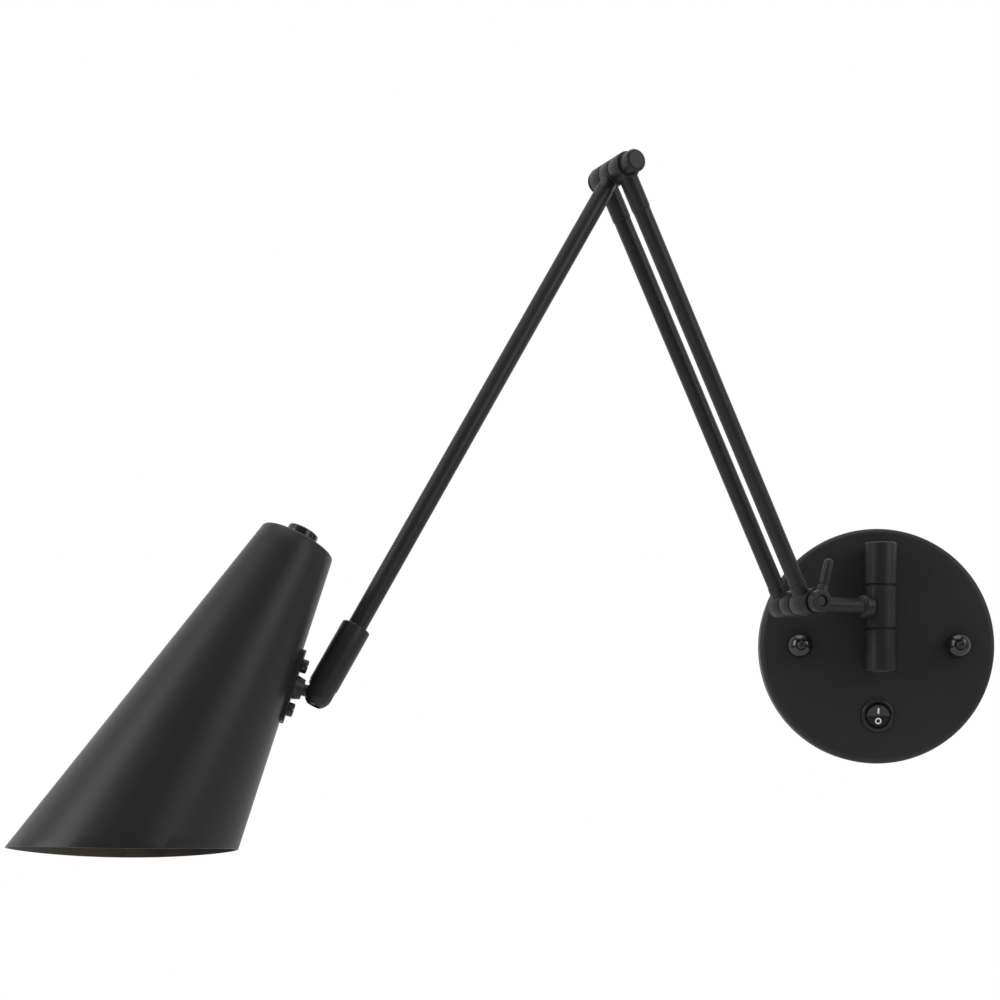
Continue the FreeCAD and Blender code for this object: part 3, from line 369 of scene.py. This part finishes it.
# Fork rods: two parallel steel tubes, 8 mm across with a 1 mm wall, coated along their whole length.
rod_paint = powder_coat("rod_paint", (0.011, 0.011, 0.0115), 0.4, grain=0.1)
for side, name in ((1, "near"), (-1, "far")):
    top = fork_length - 20 * mm
    rod_rings = [(10 * mm, 3 * mm), (10 * mm, rod_radius - 0.15 * mm), (10.15 * mm, rod_radius)]
    rod_rings += [(10 * mm + (top - 10 * mm) * share, rod_radius) for share in (0.25, 0.5, 0.75)]
    rod_rings += [(top - 0.15 * mm, rod_radius), (top, rod_radius - 0.15 * mm), (top, 3 * mm)]
    fork_rod = turned("fork_tube_" + name, rod_rings, sides=64, bored=True)
    finish(fork_rod, facing(pivot_at + near_side * side * half_fork, fork_up, near_side), rod_paint, "fork",
           ["fork_rod_" + name])

# Pivot bolts: each has a low domed head on the far side; the rest is hidden in the knuckles.
bolt_black = bare_metal("bolt_black", (0.028, 0.028, 0.03), 0.4, metallic=0.5)
elbow_at = joint_at["elbow"]
elbow_place = facing(elbow_at, near_side, fork_up)
outer_face = half_fork + knuckle_wide / 2
bolt_radius = 2.5 * mm
for name, radius, height, end, place, node in (
        ("lower_bolt", 6.0 * mm, 1.5 * mm, 22.2 * mm, lower_pivot_place, "lower_pivot_bolt"),
        ("elbow_bolt_piece", 5.5 * mm, 2.9 * mm, 18.5 * mm, elbow_place, "elbow_bolt")):
    rings = [(-outer_face - height, 1.2 * mm)] + corner(-outer_face - height, radius, height / 2, 1, -1)[::-1]
    rings += [(-outer_face, radius), (-outer_face, bolt_radius), (end - 0.3 * mm, bolt_radius), (end, 2.2 * mm)]
    bolt = turned(name, rings, sides=64)
    finish(bolt, place, bolt_black, "fork", [node])

# Clamp: a dark collar on the near knuckle, then a small hub with a short lever that tightens the pivot.
collar_black = powder_coat("collar_black", (0.004, 0.004, 0.0042), 0.4, shine=0.2)
collar_end, lever_back = outer_face + 4.8 * mm, outer_face + 4.9 * mm
collar_rings = [(outer_face, bolt_hole), (outer_face, hub_radius - 0.3 * mm), (outer_face + 0.3 * mm, hub_radius)]
collar_rings += corner(collar_end, hub_radius, 0.8 * mm, -1, -1)[::-1] + [(collar_end, bolt_hole)]
collar = turned("clamp_collar_piece", collar_rings, sides=96, bored=True)
finish(collar, lower_pivot_place, collar_black, "fork", ["clamp_collar"])
lever_end = lever_back + 4.9 * mm
lever_rings = [(lever_back, bolt_hole), (lever_back, 5.2 * mm), (lever_back + 0.3 * mm, 5.5 * mm)]
lever_rings += corner(lever_end, 5.5 * mm, 0.7 * mm, -1, -1)[::-1]
lever_rings += [(lever_end, 3.3 * mm), (lever_end - 0.25 * mm, 3.0 * mm), (lever_end - 0.9 * mm, 2.9 * mm),
                (lever_end - 0.9 * mm, bolt_hole)]
lever_hub = turned("lever_hub_piece", lever_rings, sides=80, bored=True)
lever_way = Matrix.Rotation(math.radians(16), 3, -near_side) @ Vector((0, 0, 1))
lever_place = facing(pivot_at, near_side, lever_way)
finish(lever_hub, lever_place, arm_paint, "clamp_lever", ["lever_hub"])
eye_rings = [(3.5 * mm, 2.4 * mm), (7.4 * mm, 2.4 * mm), (7.8 * mm, 2.15 * mm), (8.0 * mm, 1.9 * mm),
             (8.15 * mm, 1.9 * mm), (8.35 * mm, 2.15 * mm), (8.7 * mm, 2.3 * mm), (14 * mm, 2.3 * mm)]
for step in range(9):
    turn = math.radians(85 * step / 8)
    eye_rings.append((18.9 * mm + 2.3 * mm * math.sin(turn), 2.3 * mm * math.cos(turn)))
lever = turned("lever_handle_piece", eye_rings, sides=48)
finish(lever, facing(pivot_at + near_side * (lever_back + 2.45 * mm), lever_way, near_side), arm_paint,
       "clamp_lever", ["lever_handle"])

# Elbow: the upper arm's hub turns between the fork's two knuckles; longer necks run down into the rods.
# A domed cap closes the bolt on the near side.
elbow_radius = 6.0 * mm
for side, name in ((1, "near"), (-1, "far")):
    middle = side * half_fork
    barrel("elbow_knuckle_barrel_" + name, elbow_radius, middle - knuckle_wide / 2, middle + knuckle_wide / 2,
           0.45 * mm, elbow_place, arm_paint, "fork", ["elbow_knuckle_" + name])
    neck_rings = [(4.0 * mm, 4.3 * mm), (19.2 * mm, 4.3 * mm), (19.7 * mm, 4.2 * mm), (20 * mm, 4.0 * mm),
                  (20 * mm, 2.95 * mm), (26 * mm, 2.95 * mm)]
    neck = turned("elbow_neck_" + name, neck_rings, sides=64)
    finish(neck, facing(elbow_at + near_side * middle, -fork_up, near_side), arm_paint, "fork")
cap_end, cap_radius, cap_bore_end = outer_face + 7.3 * mm, 5.0 * mm, outer_face + 5.05 * mm
cap_rings = [(cap_bore_end, 0.05 * mm), (cap_bore_end, bolt_hole), (outer_face, bolt_hole),
             (outer_face, cap_radius - 0.2 * mm), (outer_face + 0.3 * mm, cap_radius)]
cap_rings += corner(cap_end, cap_radius, 1.6 * mm, -1, -1, steps=8)[::-1] + [(cap_end, 0.05 * mm)]
elbow_cap = turned("elbow_cap_piece", cap_rings, sides=80)
finish(elbow_cap, elbow_place, arm_paint, "fork", ["elbow_cap"])

# Upper arm: one hub with a filleted neck, one 8 mm tube, and a thicker sleeve over the tube's lower end.
arm_down = (joint_at["head_tilt"] - elbow_at).normalized()
arm_length = (joint_at["head_tilt"] - elbow_at).length
arm_hub_place = facing(elbow_at, near_side, arm_down)
barrel("arm_hub", elbow_radius, -3.9 * mm, 3.9 * mm, 0.25 * mm, arm_hub_place, arm_paint, "upper_arm", ["elbow_hub"])
neck_rings = [(3.6 * mm, 3.7 * mm), (9.0 * mm, 3.7 * mm), (9.8 * mm, 3.85 * mm), (10 * mm, 3.85 * mm),
              (10 * mm, 2.95 * mm), (16 * mm, 2.95 * mm)]
arm_neck = turned("arm_neck", neck_rings, sides=64)
finish(arm_neck, facing(elbow_at, arm_down, near_side), arm_paint, "upper_arm")
tube_end = arm_length - 20.6 * mm
tube_rings = [(10 * mm, 3 * mm), (10 * mm, rod_radius - 0.15 * mm), (10.15 * mm, rod_radius)]
tube_rings += [(10 * mm + (tube_end - 10 * mm) * share, rod_radius) for share in (0.2, 0.4, 0.6, 0.8)]
tube_rings += [(tube_end - 0.15 * mm, rod_radius), (tube_end, rod_radius - 0.15 * mm), (tube_end, 3 * mm)]
upper_tube = turned("upper_tube", tube_rings, sides=64, bored=True)
finish(upper_tube, facing(elbow_at, arm_down, near_side), rod_paint, "upper_arm", ["upper_rod"])

# End sleeve and ball cap: the sleeve is turned from 12 mm bar and bored for the tube and the ball.
# The rounded cap screws onto its end, and a slot in the cap lets the ball's stem swing.
sleeve_top, cap_seam = -32.6 * mm, -4.2 * mm
sleeve_radius = 6.2 * mm
end_rings = [(sleeve_top, 4.05 * mm), (sleeve_top, 5.5 * mm), (sleeve_top + 0.15 * mm, 5.95 * mm),
             (sleeve_top + 0.35 * mm, 6.12 * mm), (sleeve_top + 0.7 * mm, sleeve_radius),
             (sleeve_top + 14 * mm, sleeve_radius), (cap_seam - 0.25 * mm, sleeve_radius),
             (cap_seam, sleeve_radius - 0.25 * mm), (cap_seam, 1.7 * mm), (sleeve_top + 12.1 * mm, 1.7 * mm),
             (sleeve_top + 12.1 * mm, 4.05 * mm)]
end_sleeve = turned("end_sleeve", end_rings, sides=96, bored=True)
ball_at = joint_at["head_tilt"]
finish(end_sleeve, facing(ball_at, arm_down, near_side), arm_paint, "turning_end", ["head_sleeve"])
repaint(arm_paint, "ball_cap")
repaint(stud_black, "ball_stud")

# Shade's bracket: a pressed strap bent to the cone, with a tapered boss brazed on for the ball's stem.
# Two slotted screws hold it, with nuts inside the shade.
repaint(arm_paint, "shade_bracket")
repaint(stud_black, "bracket_screw_top", "bracket_screw_bottom")

# Cone shade: rolled and seamed from 1 mm steel, closed at the top, and cut off at a slant below.
# Satin black outside; the inside is a duller dark paint whose lighter, browner colour is a painted warm reflection,
# and the cut edge is turned smooth.
stem, across = joint_axis["head_roll"], joint_axis["head_tilt"]
slope = math.radians(9.4)
head_axes = Matrix.Translation(ball_at) @ Matrix((-stem, -across, stem.cross(across))).transposed().to_4x4()
top_radius, top_drop, shade_reach = 15.6 * mm, 56.2 * mm, 11.3 * mm
long_side, short_side, shade_wall, edge_bow = 163.6 * mm, 125.9 * mm, 1.0 * mm, 1.7 * mm
top_corner = Vector((top_radius * math.cos(slope), 0, -top_radius * math.sin(slope)))
shade_axes = head_axes @ Matrix.Translation(Vector((-shade_reach, 0, top_drop)) - top_corner)
shade_axes = shade_axes @ Matrix.Rotation(slope, 4, "Y")
shade_rings = [(0, 5.05 * mm), (0, 9 * mm), (0, 12.5 * mm), (0, top_radius - 1.4 * mm),
               (-0.12 * mm, top_radius - 0.75 * mm), (-0.45 * mm, top_radius - 0.22 * mm),
               (-1.1 * mm, top_radius + 1.1 * mm * math.tan(slope))]
depth = long_side * math.cos(slope) + 12 * mm
for step in range(1, 25):
    down = 1.1 * mm + (depth - 1.1 * mm) * step / 24
    shade_rings.append((-down, top_radius + down * math.tan(slope)))
bpy.ops.object.select_all(action="DESELECT")
place, radius = shade_rings[0]
bpy.ops.mesh.primitive_circle_add(vertices=256, radius=radius, location=(0, 0, 0), fill_type="NOTHING")
cone = bpy.context.object
cone.name = cone.data.name = "cone_shade"
bpy.ops.object.mode_set(mode="EDIT")
bpy.ops.mesh.select_all(action="SELECT")
for next_place, next_radius in shade_rings[1:]:
    bpy.ops.mesh.extrude_region_move(TRANSFORM_OT_translate={"value": (0, 0, next_place - place)})
    grow = next_radius / radius
    bpy.ops.transform.resize(value=(grow, grow, 1), center_override=(0, 0, next_place))
    place, radius = next_place, next_radius
far_end = Vector((-top_radius - long_side * math.sin(slope), 0, -long_side * math.cos(slope)))
near_end = Vector((top_radius + short_side * math.sin(slope), 0, -short_side * math.cos(slope)))
cut_way = (near_end - far_end).cross(Vector((0, 1, 0))).normalized()
bpy.ops.mesh.select_all(action="SELECT")
bpy.ops.mesh.bisect(plane_co=far_end - 2 * edge_bow * cut_way, plane_no=cut_way, clear_inner=True)
bpy.ops.mesh.select_all(action="SELECT")
bpy.ops.mesh.remove_doubles(threshold=1e-6)
bpy.ops.mesh.normals_make_consistent(inside=False)
bpy.ops.object.mode_set(mode="OBJECT")
shade_paint = powder_coat("shade_paint", (0.011, 0.011, 0.0115), 0.42, grain=0.3)
# Inside colour: dark paint made lighter and browner than the outside as a painted warm reflection.
inside_paint_and_warm_reflection = powder_coat("inside_paint_and_warm_reflection", (0.035, 0.028, 0.021), 0.6)
cone.data.materials.append(shade_paint)
cone.data.materials.append(inside_paint_and_warm_reflection)
wall = cone.modifiers.new("wall", "SOLIDIFY")
wall.thickness = shade_wall
wall.offset = -1
wall.use_even_offset = True
wall.material_offset = 1
bpy.ops.object.modifier_apply(modifier="wall")
half_edge = (near_end - far_end).length / 2
bow_radius = (half_edge ** 2 + edge_bow ** 2) / (2 * edge_bow)
bow_middle = (far_end + near_end) / 2 + (bow_radius - edge_bow) * cut_way
bpy.ops.object.select_all(action="DESELECT")
bpy.ops.mesh.primitive_cylinder_add(vertices=1024, radius=bow_radius, depth=2 * depth, location=bow_middle,
                                    rotation=(math.radians(90), 0, 0))
bow = bpy.context.object
trim = cone.modifiers.new("trim", "BOOLEAN")
trim.operation = "INTERSECT"
trim.solver = "EXACT"
trim.object = bow
bpy.context.view_layer.objects.active = cone
bpy.ops.object.modifier_apply(modifier="trim")
bpy.data.objects.remove(bow)
soften(cone, 0.3 * mm, segments=2, angle=60)
finish(cone, shade_axes, shade_paint, "head", ["shade"], angle=40)

# Cap nut: a plain round nut, polished and lacquered, that closes the threaded nipple on top of the shade.
nut_radius, nut_height = 6.5 * mm, 5.2 * mm
nut_rings = [(3.8 * mm, 0.05 * mm), (3.8 * mm, 5.05 * mm), (0, 5.05 * mm), (0, nut_radius - 0.3 * mm),
             (0.3 * mm, nut_radius)]
nut_rings += corner(nut_height, nut_radius, 0.8 * mm, -1, -1)[::-1] + [(nut_height, 0.05 * mm)]
cap_nut = turned("cap_nut_piece", nut_rings, sides=96)
cap_lacquer = powder_coat("cap_lacquer", (0.01, 0.01, 0.0105), 0.22, grain=0.2, shine=0.5)
finish(cap_nut, shade_axes, cap_lacquer, "head", ["cap_nut"])

# Lampholder: a black phenolic shell, held on the nipple under the shade's top, around an insert with a flush centre
# contact. Shell and insert are the CAD pieces, given a phenolic finish.
holder_black = moulded("phenolic", (0.012, 0.011, 0.0105), 0.34)
repaint(holder_black, "holder_shell", "holder_insert")

# Camera and studio: a level camera straight at the wall, as the photograph was taken.
# The floor lies well below the lamp; two soft lamps stand left and right of the camera.
camera_data = bpy.data.cameras.new("camera")
camera = bpy.data.objects.new("camera", camera_data)
bpy.context.scene.collection.objects.link(camera)
camera.location = (-0.1159, -0.8225, -0.0335)
camera.rotation_euler = (math.radians(90), 0, 0)
camera_data.lens = 57.17
camera_data.sensor_width = 36
camera_data.shift_x, camera_data.shift_y = -0.15, 0.2118
bpy.context.scene.camera = camera


def softbox(name, place, target, width, height, power):
    """A soft studio lamp, turned towards a point."""
    data = bpy.data.lights.new(name, "AREA")
    data.shape = "RECTANGLE"
    data.size, data.size_y = width, height
    data.energy = power
    lamp = bpy.data.objects.new(name, data)
    bpy.context.scene.collection.objects.link(lamp)
    lamp.location = place
    lamp.rotation_euler = (Vector(target) - Vector(place)).to_track_quat("-Z", "Y").to_euler()
    return lamp


softbox("left_softbox", (-1.5, -0.9, 0.6), (-0.25, -0.15, 0), 0.6, 1.4, 16)
softbox("right_softbox", (1.3, -1.0, 0.8), (0, 0, 0), 0.8, 1.2, 10)
softbox("top_softbox", (-0.2, -0.3, 1.6), (-0.15, -0.1, 0), 1.2, 1.0, 8)

world = bpy.data.worlds.new("studio")
bpy.context.scene.world = world
world.use_nodes = True
nodes, links = world.node_tree.nodes, world.node_tree.links
ambient = nodes["Background"]
ambient.inputs["Color"].default_value = (0.9, 0.9, 0.9, 1)
ambient.inputs["Strength"].default_value = 0.55
white = nodes.new("ShaderNodeBackground")
white.inputs["Color"].default_value = (1, 1, 1, 1)
path = nodes.new("ShaderNodeLightPath")
way = nodes.new("ShaderNodeTexCoord")
along = nodes.new("ShaderNodeSeparateXYZ")
room = nodes.new("ShaderNodeMapRange")
room.interpolation_type = "SMOOTHSTEP"
room.inputs["From Min"].default_value = -0.5
room.inputs["From Max"].default_value = 0.5
room.inputs["To Min"].default_value = 0.15
shown = nodes.new("ShaderNodeMath")
shown.operation = "MAXIMUM"
links.new(way.outputs["Generated"], along.inputs["Vector"])
links.new(along.outputs["Y"], room.inputs["Value"])
links.new(room.outputs["Result"], shown.inputs[0])
links.new(path.outputs["Is Camera Ray"], shown.inputs[1])
links.new(shown.outputs[0], white.inputs["Strength"])
either = nodes.new("ShaderNodeMath")
either.operation = "MAXIMUM"
either_more = nodes.new("ShaderNodeMath")
either_more.operation = "MAXIMUM"
blend = nodes.new("ShaderNodeMixShader")
links.new(path.outputs["Is Camera Ray"], either.inputs[0])
links.new(path.outputs["Is Glossy Ray"], either.inputs[1])
links.new(either.outputs[0], either_more.inputs[0])
links.new(path.outputs["Is Transmission Ray"], either_more.inputs[1])
links.new(either_more.outputs[0], blend.inputs["Fac"])
links.new(ambient.outputs["Background"], blend.inputs[1])
links.new(white.outputs["Background"], blend.inputs[2])
links.new(blend.outputs["Shader"], nodes["World Output"].inputs["Surface"])

bpy.ops.object.select_all(action="DESELECT")
bpy.ops.mesh.primitive_plane_add(size=2.4, location=(0, 0, -0.42))
floor = bpy.context.object
floor.name = "floor"
floor_white = bpy.data.materials.new("floor_white")
floor_white.use_nodes = True
nodes, links = floor_white.node_tree.nodes, floor_white.node_tree.links
matte = nodes["Principled BSDF"]
matte.inputs["Base Color"].default_value = (0.92, 0.92, 0.92, 1)
matte.inputs["Roughness"].default_value = 0.9
glow = nodes.new("ShaderNodeEmission")
glow.inputs["Strength"].default_value = 1.0
path = nodes.new("ShaderNodeLightPath")
share = nodes.new("ShaderNodeMath")
share.operation = "MULTIPLY"
share.inputs[1].default_value = 0.92
blend = nodes.new("ShaderNodeMixShader")
links.new(path.outputs["Is Camera Ray"], share.inputs[0])
links.new(share.outputs[0], blend.inputs["Fac"])
links.new(matte.outputs["BSDF"], blend.inputs[1])
links.new(glow.outputs["Emission"], blend.inputs[2])
links.new(blend.outputs["Shader"], nodes["Material Output"].inputs["Surface"])
floor.data.materials.append(floor_white)

bpy.context.scene.view_settings.view_transform = "Standard"
